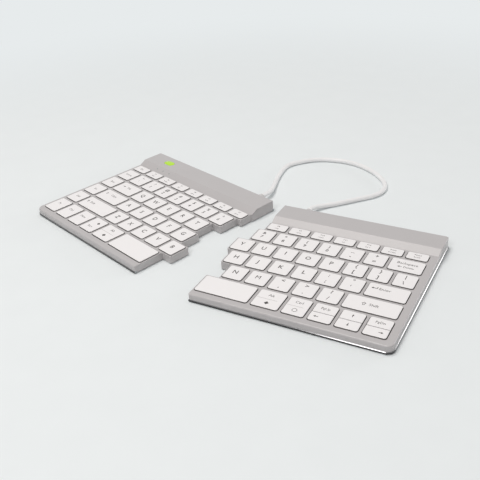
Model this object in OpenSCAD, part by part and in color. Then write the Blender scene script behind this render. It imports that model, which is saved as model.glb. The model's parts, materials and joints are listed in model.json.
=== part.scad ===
// Split keyboard in two halves, joined by a cord.
// Both halves are laid out in one frame, as if pushed together: x = 0 at the left edge of the number
// row's first digit column, y = 0 on the number row's centre line, z = 0 on the desk, front towards -y.
// Each half is then turned outwards about one point behind the keyboard.

/* [Keys] */
// Distance between the centres of neighbouring keys
pitch = 19; // [18:0.1:20]
// Space between neighbouring caps
cap_gap = 3; // [2.6:0.1:3.6]
// Running gap between a cap and its opening in the deck
cap_clearance = 0.45; // [0.3:0.05:0.7]
// Corner radius of a cap, seen from above
cap_corner = 1.6; // [0.8:0.1:2.4]
// Height of a cap from the foot of its skirt to its top
cap_h = 3; // [2.6:0.1:3.2]
// Thickness of a cap's skirt
cap_wall = 1; // [0.8:0.1:1.1]
// Thickness of a cap's top
cap_roof = 1.2; // [0.8:0.1:1.3]
// How far a cap stands above the deck at rest
cap_proud = 0.7; // [0.5:0.1:1.2]
// Travel of a key
travel = 2; // [1.2:0.1:2.2]
// Depth of a function key's cell
function_depth = 12.5; // [12.3:0.1:15]
// Depth of a cell in the front row
front_depth = 22.5; // [22.3:0.1:26]
// Gap between two half-height keys that share one cell
half_key_gap = 0.5; // [0.3:0.1:0.6]
// Width of a function key's cell, in key pitches
function_units = 1.03125; // [1:0.00625:1.04]

/* [Case] */
// Height of the deck above the desk
deck_h = 7; // [6.8:0.1:8]
// Thickness of the deck
deck_t = 1.2; // [0.8:0.1:1.4]
// Thickness of the outer walls
wall = 1.8; // [1.4:0.1:1.9]
// Height of the rear bar above the desk
bar_h = 10.4; // [10:0.1:14]
// Depth of the rear bar, with its slope
bar_depth = 26.5; // [25:0.5:36]
// Depth of the slope at the front of the bar
slope_depth = 6.3; // [4:0.1:8]
// Thickness of the bar's top
bar_roof = 1.4; // [1:0.1:1.6]
// How far the bar reaches past the function keys at the split
bar_overhang = 1; // [0:0.1:3]
// Margin between the front row's cells and the front edge
front_margin = 4.5; // [3:0.1:12]
// Margin left of the left half's cells
left_margin = 2.5; // [1.5:0.1:10]
// Margin right of the right half's cells
right_margin = 5; // [1.5:0.1:12]
// Radius of the outer corners at the front, seen from above
corner_r = 5; // [3:0.5:8]
// Radius of the outer corners at the rear, seen from above
rear_r = 2; // [1.6:0.2:8]
// Rounding of the deck's outer edges, at the front and at the side
edge_r = 1.2; // [0.6:0.1:2.2]
// Rounding of the bar's outer edges
bar_edge_r = 0.8; // [0.4:0.1:1.2]
// Rounding of the outer corners in the stepped edge, seen from above
step_r = 1; // [0.4:0.1:1]
// Gap between the halves when they are pushed together
dock_gap = 0.4; // [0.2:0.1:0.8]

/* [Base] */
// Thickness of the base plate
base_t = 1; // [0.8:0.1:1.2]
// Height of the bright rim along the outer edges
rim_h = 1.6; // [1.3:0.1:2]
// Width of the rim under the outer walls
rim_w = 2; // [1.9:0.1:3]
// How far the rim stands out past the case
base_proud = 0.5; // [0.1:0.1:0.6]
// Gap between the base plate and the inner walls
base_gap = 0.15; // [0.1:0.05:0.3]
// Height of the rubber feet
foot_h = 0.6; // [0.4:0.1:1]
// Diameter of a rubber foot
foot_d = 9; // [6:0.5:12]
// Distance of a foot's centre from the edges
foot_inset = 8.5; // [7:0.5:14]

/* [Key works] */
// Thickness of the contact membrane
membrane_t = 0.3; // [0.2:0.05:0.4]
// Thickness of the support plate
plate_t = 0.5; // [0.3:0.05:0.6]
// Gap between the support plate and the walls
plate_gap = 0.3; // [0.2:0.05:0.5]
// Height of a rubber dome
dome_h = 3.2; // [2.8:0.1:3.6]
// Diameter of a rubber dome at its foot
dome_d = 5.6; // [5:0.1:5.8]
// Diameter of a rubber dome at its top
dome_top_d = 3.2; // [2.6:0.1:3.2]
// Gap around a dome in the support plate
dome_gap = 0.4; // [0.2:0.1:0.6]
// Length of a scissor link
link_l = 11; // [9:0.1:11.5]
// Width of the outer scissor link
link_w = 7; // [6.8:0.1:7.2]
// Width of a link's bars
link_bar = 0.6; // [0.5:0.05:0.65]
// Thickness of a link
link_t = 0.8; // [0.6:0.05:1]
// Play between the two links of a pair
link_gap = 0.2; // [0.15:0.05:0.25]
// Play of a link between the support plate and its cap
link_play = 0.05; // [0.02:0.01:0.2]

/* [Electronics] */
// Thickness of the circuit boards
board_t = 1; // [0.8:0.1:1.6]
// Depth of the circuit boards
board_depth = 17; // [14:0.5:17]
// Length of the right half's circuit board
right_board_l = 78; // [40:1:100]
// Height of the posts that carry the boards
post_h = 1.3; // [0.8:0.1:1.6]
// Diameter of those posts
post_d = 4; // [3:0.5:5]
// Length of the battery
battery_l = 48; // [30:1:60]
// Depth of the battery
battery_depth = 18; // [12:0.5:18]
// Height of the battery
battery_h = 4.6; // [3:0.1:5]
// Distance of the boards and the battery from the rear wall
rear_gap = 2; // [1.5:0.1:3]
// Diameter of the charge socket's rounded sides
socket_h = 3.2; // [3:0.05:3.4]
// Width of the charge socket
socket_w = 8.9; // [8:0.1:9.2]
// Sheet of the charge socket's shell
socket_t = 0.35; // [0.25:0.05:0.4]
// Depth of the charge socket
socket_l = 7.4; // [6:0.1:9]
// Thickness of the charge socket's tongue
tongue_t = 0.7; // [0.5:0.05:0.8]
// Width of the charge socket's tongue
tongue_w = 6.4; // [5:0.1:6.6]
// Distance of the charge socket from the end of its board
socket_x = 14; // [10:0.5:20]
// Distance of the power switch from the charge socket
switch_x = 20; // [16:0.5:26]
// Length of the power switch's body
switch_l = 8.6; // [7:0.1:10]
// Height of the power switch's body
switch_h = 3.4; // [3:0.1:4]
// Depth of the power switch's body
switch_depth = 4; // [3:0.1:5]
// Width of the power switch's knob
knob_w = 2.6; // [2:0.1:3]
// Height of the power switch's knob
knob_h = 1.6; // [1.2:0.1:2]
// Travel of the power switch's knob
knob_travel = 2.5; // [1.5:0.1:3]
// Clearance of sockets, knobs and windows in the case
trim_gap = 0.2; // [0.1:0.05:0.3]
// How far the socket and the knob lie inside the rear face
recess = 0.3; // [0.1:0.1:0.6]

/* [Lights] */
// Length of the indicator window
window_l = 12; // [8:0.1:14]
// Width of the indicator window
window_w = 7; // [4:0.1:8]
// Width of the flange that holds the window under the bar's top
window_flange = 0.8; // [0.5:0.1:1.2]
// Thickness of that flange
flange_t = 0.8; // [0.5:0.1:1]
// Distance of the window's centre from the left edge
window_x = 27; // [18:0.5:40]
// Diameter of a status light
light_d = 1.6; // [1:0.1:2.4]
// Length of a status light's pipe
light_l = 2.4; // [1.8:0.1:3]
// Distance of the first status light from the left edge
light_x = 24.5; // [18:0.5:40]
// Distance between the status lights
light_pitch = 9; // [4:0.5:12]

/* [Fasteners] */
// Outer diameter of a screw boss
boss_d = 5; // [4.4:0.1:6]
// Diameter of a screw's shank
screw_d = 2; // [1.6:0.1:2.4]
// Length of a screw below its head
screw_l = 5; // [3:0.1:5.5]
// Diameter of a screw's head
head_d = 3.8; // [3.4:0.1:4.2]
// Height of a screw's head
head_h = 0.5; // [0.3:0.05:0.6]
// Radial play of a screw in its boss
screw_play = 0.05; // [0.02:0.01:0.1]
// Distance of the screws from the rear face
screw_rear = 15; // [14:0.5:18]
// Space between a boss and what lies beside it along the bar
boss_gap = 1.5; // [1:0.1:3]

/* [Cord] */
// Diameter of the link cord
cord_d = 4.2; // [3:0.1:4.6]
// Length of a strain relief outside the case
relief_l = 6; // [4:0.5:10]
// Diameter of a strain relief at the case
relief_d = 5.8; // [5.4:0.1:6]
// Diameter of a strain relief at its tip
relief_tip_d = 5; // [4.8:0.1:5.2]
// Thickness of the flange that holds a strain relief inside the case
relief_flange_t = 1; // [0.6:0.1:1.2]
// Clearance of that flange above the rim and under the bar's top
relief_gap = 0.2; // [0.1:0.05:0.25]
// Distance of the strain reliefs from the bar's inner ends
relief_x = 20; // [12:0.5:32]

/* [Splay] */
// Angle between the halves
splay = 18.5; // [12:0.5:30]
// Distance of the turning point behind the rear face
pole_behind = 41.5; // [35:0.5:50]
// Distance of the turning point right of the split
pole_right = 4.8; // [0:0.1:8]

/* [Hidden] */
$fn = 48;
lap = 1;
left = true;
right = false;

// Cell widths in key pitches, from the rear row to the front row, each row from left to right
first_unit = -1;
letter_run = [1, 1, 1, 1, 1];
left_units = [
    [for (i = [1:8]) function_units],
    [1, 1, 1, 1, 1, 1, 1, 1],
    concat([1, 1.5], letter_run),
    concat([1, 1.75], letter_run),
    concat([1, 2.25], letter_run),
    [1, 1, 1, 1, 1.25, 2.45]
];
right_units = [
    [for (i = [1:7]) function_units],
    [1, 1, 1, 1, 1, 1, 1.5],
    concat(letter_run, [1, 1, 1]),
    concat(letter_run, [1, 1.75]),
    concat(letter_run, [2.25]),
    [2.425, 1.25, 1.03125, 1.03125, 1.03125, 1.03125]
];
rows = len(left_units);
front_row = rows - 1;
// Cells of the right half's front row from this one on hold two half-height keys each
first_half_key = 3;
// Keys wider than this have two pairs of links
wide_units = 2;

function total(v, n) = n > 0 ? v[n - 1] + total(v, n - 1) : 0;
function units(side) = side ? left_units : right_units;
function row_end(r) = first_unit + total(left_units[r], len(left_units[r]));
function row_start(side, r) = side ? first_unit : row_end(r);
function cell_x(side, r, i) = pitch * (row_start(side, r) + total(units(side)[r], i) + units(side)[r][i] / 2);
function cell_w(side, r, i) = pitch * units(side)[r][i];
function is_halved(side, r, i) = !side && r == front_row && i >= first_half_key;

// Edges between the rows, from rear to front
row_edges = concat(
    [pitch / 2 + function_depth],
    [for (r = [0:rows - 2]) pitch / 2 - r * pitch],
    [pitch / 2 - (rows - 2) * pitch - front_depth]
);
function cell_y(r) = (row_edges[r] + row_edges[r + 1]) / 2;
function cell_d(r) = row_edges[r] - row_edges[r + 1];

// Heights above the desk
base_top = foot_h + base_t;
rim_top = foot_h + rim_h;
membrane_top = base_top + membrane_t;
plate_top = membrane_top + plate_t;
deck_under = deck_h - deck_t;
roof_under = bar_h - bar_roof;
cap_top = deck_h + cap_proud;
cap_foot = cap_top - cap_h;
cap_ceiling = cap_top - cap_roof;
dome_top = membrane_top + dome_h;
board_z = base_top + post_h;
board_top = board_z + board_t;
case_foot = foot_h + base_gap;

// Plan of the halves
y_front = row_edges[rows] - front_margin;
slope_foot = row_edges[0];
slope_top = slope_foot + slope_depth;
y_rear = slope_foot + bar_depth;
x_left = pitch * first_unit - left_margin;
x_right = pitch * (row_end(1) + total(right_units[1], len(right_units[1]))) + right_margin;
split_bar = pitch * row_end(0) + bar_overhang;
inner_wall = cap_gap / 2 - cap_clearance - dock_gap / 2;
bands = rows + 1;
band_edges = concat([y_rear], [for (r = [0:rows - 1]) row_edges[r]], [y_front]);
band_split = concat([split_bar], [for (r = [0:rows - 1]) pitch * row_end(r)]);

// Places along the bar
boss_zone = boss_d + 2 * boss_gap;
bar_end = dock_gap / 2 + inner_wall;
screw_y = y_rear - screw_rear;
works_rear = y_rear - wall - rear_gap;
battery_x = x_left + wall + boss_zone;
left_board_x = battery_x + battery_l + boss_zone;
left_board_l = split_bar - bar_end - boss_zone - left_board_x;
right_board_x = split_bar + bar_end + boss_zone;
left_screw_x = [
    battery_x - boss_zone / 2,
    left_board_x - boss_zone / 2,
    left_board_x + left_board_l + boss_zone / 2
];
right_screw_x = [
    right_board_x - boss_zone / 2,
    right_board_x + right_board_l + boss_zone / 2,
    x_right - wall - boss_zone / 2
];
socket_axis_z = board_top + socket_h / 2;
socket_axis_x = left_board_x + socket_x;
switch_axis_x = socket_axis_x + switch_x;
knob_z = board_top + switch_h / 2;
slope_angle = atan((bar_h - deck_h) / slope_depth);

// The strain reliefs' flanges fill the height between the rim and the bar's top
relief_h = (rim_top + roof_under) / 2;
relief_flange_d = roof_under - rim_top - 2 * relief_gap;

// The turning point, and the middle of the box around both halves, seen from that point
pole = [split_bar + pole_right, y_rear + pole_behind];
left_corners = [
    [x_left + corner_r, y_front + corner_r, corner_r + base_proud],
    [x_left + rear_r, y_rear - rear_r, rear_r + base_proud],
    [band_split[bands - 1] - dock_gap / 2, y_front - base_proud, 0]
];
right_corners = [
    [x_right - corner_r, y_front + corner_r, corner_r + base_proud],
    [x_right - rear_r, y_rear - rear_r, rear_r + base_proud],
    [band_split[bands - 1] + dock_gap / 2, y_front - base_proud, 0]
];
function turned(p, a) = [
    (p[0] - pole[0]) * cos(a) - (p[1] - pole[1]) * sin(a),
    (p[0] - pole[0]) * sin(a) + (p[1] - pole[1]) * cos(a)
];
spots = concat(
    [for (c = left_corners) concat(turned(c, -splay / 2), [c[2]])],
    [for (c = right_corners) concat(turned(c, splay / 2), [c[2]])]
);
middle = [
    (min([for (s = spots) s[0] - s[2]]) + max([for (s = spots) s[0] + s[2]])) / 2,
    (min([for (s = spots) s[1] - s[2]]) + max([for (s = spots) s[1] + s[2]])) / 2
];
function placed(p, side) = turned(p, (side ? -1 : 1) * splay / 2) - middle;

// The cord's route along the desk, between the two strain reliefs
lead = 4;
cord_lie = cord_d / 2 + 0.1;
// Points in x and y, with the share of the drop from the strain reliefs that is still to come
bends = [
    [-16, 79, 0.82], [-18.6, 86.5, 0.48], [-22.2, 94, 0.16], [-25.8, 102, 0], [-29.2, 110, 0],
    [-32.2, 118.5, 0], [-34.8, 127, 0], [-36.2, 136, 0], [-34.4, 144.5, 0], [-29.5, 152.5, 0],
    [-23.5, 160, 0], [-16, 166, 0], [-7.5, 170.2, 0], [1.5, 173, 0], [10.5, 174.4, 0],
    [19.5, 174.2, 0], [28.5, 172.4, 0], [37, 169.5, 0], [45.5, 165.4, 0], [53, 160.4, 0],
    [59.8, 154.5, 0], [65, 147.5, 0], [68, 139.5, 0], [68, 131, 0], [65, 123.2, 0],
    [60, 116, 0], [54.8, 108.8, 0], [49.6, 101.4, 0], [44.2, 93.8, 0], [39.5, 87.5, 0.08],
    [36, 81.8, 0.3], [34.2, 75.8, 0.7]
];
route = concat(
    [for (y = [0, lead]) relief_point(left, y)],
    [for (b = bends) [b[0], b[1], cord_lie + b[2] * (relief_h - cord_lie)]],
    [for (y = [lead, 0]) relief_point(right, y)]
);
cord_sides = 8;
function relief_axis(side) = split_bar + (side ? -relief_x : relief_x);
function relief_point(side, y) = concat(placed([relief_axis(side), y_rear + relief_l + y], side), [relief_h]);
function unit(v) = v / norm(v);
function heading(i) = unit(route[min(i + 1, len(route) - 1)] - route[max(i - 1, 0)]);
function ring(i) = let (across = unit(cross(heading(i), [0, 0, 1])), up = cross(across, heading(i)))
    [for (k = [0:cord_sides - 1]) route[i] + cord_d / 2 * (across * cos(k * 360 / cord_sides)
        + up * sin(k * 360 / cord_sides))];

white = "#efecec";
grey = "#bcb8b7";
steel = "#c9cbcc";
dark = "#3a3a3c";

module on_half(side) {
    translate(-middle) rotate(side ? -splay / 2 : splay / 2) translate(-pole) children();
}

module rounded(w, d, r) {
    square([w - 2 * r, d], center = true);
    square([w, d - 2 * r], center = true);
    for (x = [-1, 1], y = [-1, 1]) translate([x * (w / 2 - r), y * (d / 2 - r)]) circle(r);
}

module stadium(l, w) {
    square([l - w, w], center = true);
    for (x = [-1, 1]) translate([x * (l - w) / 2, 0]) circle(d = w);
}

// What is cut away at an outer corner; the half lies towards sx, sy from it
module corner_notch(sx, sy, r) {
    if (r > 0) difference() {
        translate([sx > 0 ? -lap : -r, sy > 0 ? -lap : -r]) square(r + lap);
        translate([sx * r, sy * r]) circle(r);
    }
}

// Plan of one half, drawn in from its outer edges and from its stepped inner edge
module plan(side, outer, inner) {
    x_out = side ? x_left + outer : x_right - outer;
    sx = side ? 1 : -1;
    difference() {
        union() {
            for (b = [0:bands - 1]) {
                top = band_edges[b] - (b == 0 ? outer : inner);
                low = band_edges[b + 1] + (b == bands - 1 ? outer : inner);
                strip(x_out, band_split[b] - sx * inner, low, top);
            }
            for (b = [0:bands - 2]) {
                pair = [band_split[b], band_split[b + 1]];
                reach = side ? min(pair) : max(pair);
                half = inner + lap;
                strip(x_out, reach - sx * inner, band_edges[b + 1] - half, band_edges[b + 1] + half);
            }
        }
        translate([x_out, y_front + outer]) corner_notch(sx, 1, corner_r - outer);
        translate([x_out, y_rear - outer]) corner_notch(sx, -1, rear_r - outer);
    }
}

module strip(x_a, x_b, y_low, y_high) {
    translate([min(x_a, x_b), y_low]) square([abs(x_b - x_a), y_high - y_low]);
}

// The plan's outer edges, where the base's rim carries the walls
module rim_plan(side, outer, inner) {
    x_in = side ? x_left + rim_w : x_right - rim_w;
    sx = side ? 1 : -1;
    difference() {
        plan(side, outer, inner);
        difference() {
            strip(x_in, side ? x_right + lap : x_left - lap, y_front + rim_w, y_rear - rim_w);
            translate([x_in, y_front + rim_w]) corner_notch(sx, 1, corner_r - rim_w);
            translate([x_in, y_rear - rim_w]) corner_notch(sx, -1, rear_r - rim_w);
        }
    }
}

// What is cut away at the outer corners of the stepped edge, and at both ends of it
module step_notches(side) {
    sx = side ? 1 : -1;
    for (b = [0:bands - 1]) {
        x = band_split[b] - sx * dock_gap / 2;
        past_rear = b == 0 ? step_r : sx * (band_split[b] - band_split[b - 1]);
        past_front = b == bands - 1 ? step_r : sx * (band_split[b] - band_split[b + 1]);
        if (past_rear > 0) translate([x, band_edges[b] - (b == 0 ? 0 : dock_gap / 2)])
            corner_notch(-sx, -1, min(step_r, past_rear));
        if (past_front > 0) translate([x, band_edges[b + 1] + (b == bands - 1 ? 0 : dock_gap / 2)])
            corner_notch(-sx, 1, min(step_r, past_front));
    }
}

// A solid with its children's outline in y and z, across both halves
module across() {
    translate([x_left - lap, 0, 0]) rotate([90, 0, 90]) linear_extrude(x_right - x_left + 2 * lap) children();
}

// A block across both halves from one y to another, its top edge rounded at this half's outer side
module side_block(side, y_low, y_high, h, r) {
    translate([0, y_high, 0]) rotate([90, 0, 0]) linear_extrude(y_high - y_low) difference() {
        translate([x_left, 0]) square([x_right - x_left, h]);
        translate([side ? x_left : x_right, h]) corner_notch(side ? 1 : -1, -1, r);
    }
}

// What is cut away to round the top edge of an outer corner
module corner_ring(side, sy, h, r) {
    turn_r = sy > 0 ? corner_r : rear_r;
    y = sy > 0 ? y_front + turn_r : y_rear - turn_r;
    turn = side ? (sy > 0 ? 180 : 90) : (sy > 0 ? 270 : 0);
    translate([side ? x_left + turn_r : x_right - turn_r, y, h]) rotate(turn) rotate_extrude(angle = 90)
        translate([turn_r, 0]) corner_notch(-1, -1, r);
}

// Deck, slope and bar as one block with rounded outer edges
module case_block(side) {
    slice = 0.01;
    difference() {
        union() {
            side_block(side, y_front - lap, slope_foot, deck_h, edge_r);
            hull() {
                side_block(side, slope_foot - slice, slope_foot, deck_h, edge_r);
                side_block(side, slope_top, slope_top + slice, bar_h, bar_edge_r);
            }
            side_block(side, slope_top, y_rear + lap, bar_h, bar_edge_r);
        }
        across() translate([y_front, deck_h]) corner_notch(1, -1, edge_r);
        across() translate([y_rear, bar_h]) corner_notch(-1, -1, bar_edge_r);
        corner_ring(side, 1, deck_h, edge_r);
        corner_ring(side, -1, bar_h, bar_edge_r);
    }
}

module openings(side) {
    play = cap_gap - 2 * cap_clearance;
    for (r = [0:rows - 1], i = [0:len(units(side)[r]) - 1])
        translate([cell_x(side, r, i), cell_y(r)])
            rounded(cell_w(side, r, i) - play, cell_d(r) - play, cap_corner + cap_clearance);
}

module case_shell(side, screws) {
    difference() {
        intersection() {
            translate([0, 0, case_foot]) linear_extrude(bar_h) difference() {
                plan(side, 0, dock_gap / 2);
                step_notches(side);
            }
            case_block(side);
        }
        difference() {
            intersection() {
                linear_extrude(bar_h) plan(side, wall, bar_end);
                across() polygon([
                    [y_front + wall, 0], [y_front + wall, deck_under],
                    [slope_foot + bar_roof / 2, deck_under], [slope_top + bar_roof / 2, roof_under],
                    [y_rear - wall, roof_under], [y_rear - wall, 0]
                ]);
            }
            for (x = screws) translate([x, screw_y, base_top]) cylinder(d = boss_d, h = bar_h);
        }
        linear_extrude(rim_top) rim_plan(side, -lap, 0);
        translate([0, 0, deck_under - lap]) linear_extrude(deck_t + 2 * lap) openings(side);
        for (x = screws) translate([x, screw_y, 0])
            cylinder(d = screw_d + 2 * screw_play, h = base_top + screw_l + lap);
        relief_bore(side);
    }
}

module relief_bore(side) {
    translate([relief_axis(side), y_rear + lap, relief_h]) rotate([90, 0, 0])
        cylinder(d = relief_d + 2 * screw_play, h = wall + 2 * lap);
}

module left_top_case() {
    color(grey) on_half(left) difference() {
        case_shell(left, left_screw_x);
        at_window() linear_extrude(bar_roof + 2 * lap, center = true)
            stadium(window_l + trim_gap, window_w + trim_gap);
        status_pipes(light_d + 2 * screw_play, lap);
        translate([socket_axis_x, y_rear + lap, socket_axis_z]) rotate([90, 0, 0])
            linear_extrude(wall + 2 * lap) stadium(socket_w + 2 * trim_gap, socket_h + 2 * trim_gap);
        translate([switch_axis_x + knob_travel / 2, y_rear - wall / 2, knob_z])
            cube([knob_w + knob_travel + 2 * trim_gap, wall + 2 * lap, knob_h + 2 * trim_gap], center = true);
    }
}

module right_top_case() {
    color(grey) on_half(right) case_shell(right, right_screw_x);
}

module at_window() {
    translate([x_left + window_x, (slope_top + y_rear) / 2, bar_h - bar_roof / 2]) children();
}

module left_indicator_window() {
    color("#b5e31f") on_half(left) at_window() {
        translate([0, 0, -bar_roof / 2]) linear_extrude(bar_roof) stadium(window_l, window_w);
        translate([0, 0, -bar_roof / 2 - flange_t]) linear_extrude(flange_t)
            stadium(window_l + 2 * window_flange, window_w + 2 * window_flange);
    }
}

// Pipes square to the slope, reaching out of it by the given length
module status_pipes(d, out) {
    for (i = [0:2])
        translate([x_left + light_x + i * light_pitch, (slope_foot + slope_top) / 2, (deck_h + bar_h) / 2])
            rotate([slope_angle, 0, 0]) translate([0, 0, -light_l]) cylinder(d = d, h = light_l + out);
}

module left_status_lights() {
    color("#8f9a94") on_half(left) status_pipes(light_d, 0);
}

module base_plate(side, screws, boards) {
    difference() {
        union() {
            translate([0, 0, foot_h]) linear_extrude(base_t) plan(side, -base_proud, bar_end + base_gap);
            translate([0, 0, foot_h]) linear_extrude(rim_h) rim_plan(side, -base_proud, dock_gap / 2);
            for (b = boards, x = [b[0] + post_d, b[0] + b[1] - post_d], y = [post_d, board_depth - post_d])
                translate([x, works_rear - y, foot_h]) cylinder(d = post_d, h = base_t + post_h);
        }
        for (x = screws) translate([x, screw_y, 0]) {
            cylinder(d = screw_d + 4 * screw_play, h = base_top + lap);
            cylinder(d = head_d + 4 * screw_play, h = foot_h + head_h + screw_play);
        }
    }
}

module left_base_tray() {
    color(steel) on_half(left) base_plate(left, left_screw_x, [[left_board_x, left_board_l]]);
}

module right_base_tray() {
    color(steel) on_half(right) base_plate(right, right_screw_x, [[right_board_x, right_board_l]]);
}

module screw_set(screws) {
    for (x = screws) translate([x, screw_y, foot_h + screw_play]) {
        cylinder(d = head_d, h = head_h);
        cylinder(d = screw_d, h = head_h + screw_l);
    }
}

module left_screws() {
    color("#8c8f92") on_half(left) screw_set(left_screw_x);
}

module right_screws() {
    color("#8c8f92") on_half(right) screw_set(right_screw_x);
}

module foot_set(side) {
    x_out = side ? x_left + foot_inset : x_right - foot_inset;
    for (b = [0, bands - 1]) {
        y = b == 0 ? y_rear - foot_inset + base_proud : y_front + foot_inset;
        x_in = band_split[b] + (side ? -foot_inset : foot_inset);
        for (x = [x_out, (x_out + x_in) / 2, x_in]) translate([x, y, 0]) cylinder(d = foot_d, h = foot_h);
    }
}

module left_feet() {
    color(dark) on_half(left) foot_set(left);
}

module right_feet() {
    color(dark) on_half(right) foot_set(right);
}

module works_plan(side) {
    intersection() {
        plan(side, wall + plate_gap, bar_end + plate_gap);
        strip(x_left - lap, x_right + lap, y_front, slope_foot);
    }
}

// Draws its children at each key of one half, halved cells twice
module at_keys(side) {
    for (r = [0:rows - 1], i = [0:len(units(side)[r]) - 1], h = is_halved(side, r, i) ? [-1, 1] : [0])
        translate([cell_x(side, r, i), key_y(r, h)]) {
            $key_w = cell_w(side, r, i) - cap_gap;
            $key_units = units(side)[r][i];
            children();
        }
}

function key_d(r, h) = h == 0 ? cell_d(r) - cap_gap : (cell_d(r) - cap_gap - half_key_gap) / 2;
function key_y(r, h) = cell_y(r) + h * (key_d(r, h) + half_key_gap) / 2;

module membrane(side) {
    translate([0, 0, base_top]) linear_extrude(membrane_t) works_plan(side);
}

module left_membrane() {
    color("#d8dccf") on_half(left) membrane(left);
}

module right_membrane() {
    color("#d8dccf") on_half(right) membrane(right);
}

module support_plate(side) {
    translate([0, 0, membrane_top]) linear_extrude(plate_t) difference() {
        works_plan(side);
        at_keys(side) circle(d = dome_d + 2 * dome_gap);
    }
}

module left_support_plate() {
    color("#9a9d9f") on_half(left) support_plate(left);
}

module right_support_plate() {
    color("#9a9d9f") on_half(right) support_plate(right);
}

module domes(side) {
    translate([0, 0, membrane_top]) at_keys(side) cylinder(d1 = dome_d, d2 = dome_top_d, h = dome_h);
}

module left_domes() {
    color("#e2ded6") on_half(left) domes(left);
}

module right_domes() {
    color("#e2ded6") on_half(right) domes(right);
}

module link(w) {
    difference() {
        cube([link_l, w, link_t], center = true);
        cube([link_l - 2 * link_bar, w - 2 * link_bar, link_t + lap], center = true);
    }
}

// Two links that cross under a cap; a wide key has two such pairs
module scissor_links(side) {
    room = (cap_ceiling - plate_top) / 2 - link_play;
    lean = asin((room - link_t / 2) / (link_l / 2));
    translate([0, 0, (cap_ceiling + plate_top) / 2]) at_keys(side)
        for (x = $key_units > wide_units ? [-$key_w / 4, $key_w / 4] : [0]) translate([x, 0, 0]) {
            rotate([0, lean, 0]) link(link_w);
            rotate([0, -lean, 0]) link(link_w - 2 * link_bar - 2 * link_gap);
        }
}

module left_scissor_links() {
    color("#f4f2ee") on_half(left) scissor_links(left);
}

module right_scissor_links() {
    color("#f4f2ee") on_half(right) scissor_links(right);
}

// Plan of a cap about the middle of its cell; two half-height keys share one rounded outline
module cap_plan(w, r, h) {
    if (h == 0) rounded(w, key_d(r, 0), cap_corner);
    else intersection() {
        rounded(w, key_d(r, 0), cap_corner);
        translate([0, key_y(r, h) - cell_y(r)]) square([w + lap, key_d(r, h)], center = true);
    }
}

module cap(w, r, h) {
    y = key_y(r, h) - cell_y(r);
    difference() {
        translate([0, 0, cap_foot]) linear_extrude(cap_h) cap_plan(w, r, h);
        translate([0, y, cap_foot - lap]) linear_extrude(cap_h - cap_roof + lap)
            square([w - 2 * cap_wall, key_d(r, h) - 2 * cap_wall], center = true);
    }
    translate([0, y, dome_top]) cylinder(d = dome_top_d, h = cap_ceiling - dome_top + cap_roof / 2);
}

// The caps of one row from the first to the last cell; h picks a half-height key
module caps(side, r, first, last, h = 0) {
    color(white) on_half(side) for (i = [first:last])
        translate([cell_x(side, r, i), cell_y(r)]) cap(cell_w(side, r, i) - cap_gap, r, h);
}

module left_function_keys() { caps(left, 0, 0, 7); }
module left_edge_keys() { for (r = [1:4]) caps(left, r, 0, 0); }
module left_number_keys() { caps(left, 1, 1, 7); }
module tab_key() { caps(left, 2, 1, 1); }
module left_upper_letter_keys() { caps(left, 2, 2, 6); }
module caps_lock_key() { caps(left, 3, 1, 1); }
module left_home_letter_keys() { caps(left, 3, 2, 6); }
module left_shift_key() { caps(left, 4, 1, 1); }
module left_lower_letter_keys() { caps(left, 4, 2, 6); }
module left_modifier_keys() { caps(left, front_row, 0, 3); }
module left_alt_key() { caps(left, front_row, 4, 4); }
module left_space_key() { caps(left, front_row, 5, 5); }
module right_function_keys() { caps(right, 0, 0, 6); }
module right_number_keys() { caps(right, 1, 0, 5); }
module backspace_key() { caps(right, 1, 6, 6); }
module right_upper_letter_keys() { caps(right, 2, 0, 7); }
module right_home_letter_keys() { caps(right, 3, 0, 5); }
module enter_key() { caps(right, 3, 6, 6); }
module right_lower_letter_keys() { caps(right, 4, 0, 4); }
module right_shift_key() { caps(right, 4, 5, 5); }
module right_space_key() { caps(right, front_row, 0, 0); }
module right_alt_key() { caps(right, front_row, 1, 1); }
module right_control_key() { caps(right, front_row, 2, 2); }
module page_up_key() { caps(right, front_row, 3, 3, 1); }
module left_arrow_key() { caps(right, front_row, 3, 3, -1); }
module up_arrow_key() { caps(right, front_row, 4, 4, 1); }
module down_arrow_key() { caps(right, front_row, 4, 4, -1); }
module page_down_key() { caps(right, front_row, 5, 5, 1); }
module right_arrow_key() { caps(right, front_row, 5, 5, -1); }

module left_circuit_board() {
    color("#2f6b45") on_half(left) translate([left_board_x, works_rear - board_depth, board_z])
        cube([left_board_l, board_depth, board_t]);
}

module right_circuit_board() {
    color("#2f6b45") on_half(right) translate([right_board_x, works_rear - board_depth, board_z])
        cube([right_board_l, board_depth, board_t]);
}

module battery() {
    color("#b9bcc0") on_half(left) translate([battery_x, works_rear - battery_depth, base_top])
        cube([battery_l, battery_depth, battery_h]);
}

// Shell with its mouth at the rear, closed at the inner end, and a tongue inside
module charge_socket() {
    color(steel) on_half(left) translate([socket_axis_x, y_rear - recess, socket_axis_z]) rotate([90, 0, 0]) {
        difference() {
            linear_extrude(socket_l) stadium(socket_w, socket_h);
            translate([0, 0, -lap]) linear_extrude(socket_l - 2 * socket_t + lap)
                stadium(socket_w - 2 * socket_t, socket_h - 2 * socket_t);
        }
        translate([0, 0, socket_l / 2]) cube([tongue_w, tongue_t, socket_l - 2 * socket_t], center = true);
    }
}

module power_switch() {
    color(dark) on_half(left) translate([switch_axis_x - switch_l / 2, works_rear - switch_depth, board_top])
        cube([switch_l, switch_depth, switch_h]);
}

module power_switch_knob() {
    knob_l = wall + rear_gap - recess - trim_gap;
    color("#d9d6d4") on_half(left)
        translate([switch_axis_x - knob_w / 2, works_rear + trim_gap, knob_z - knob_h / 2])
            cube([knob_w, knob_l, knob_h]);
}

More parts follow.
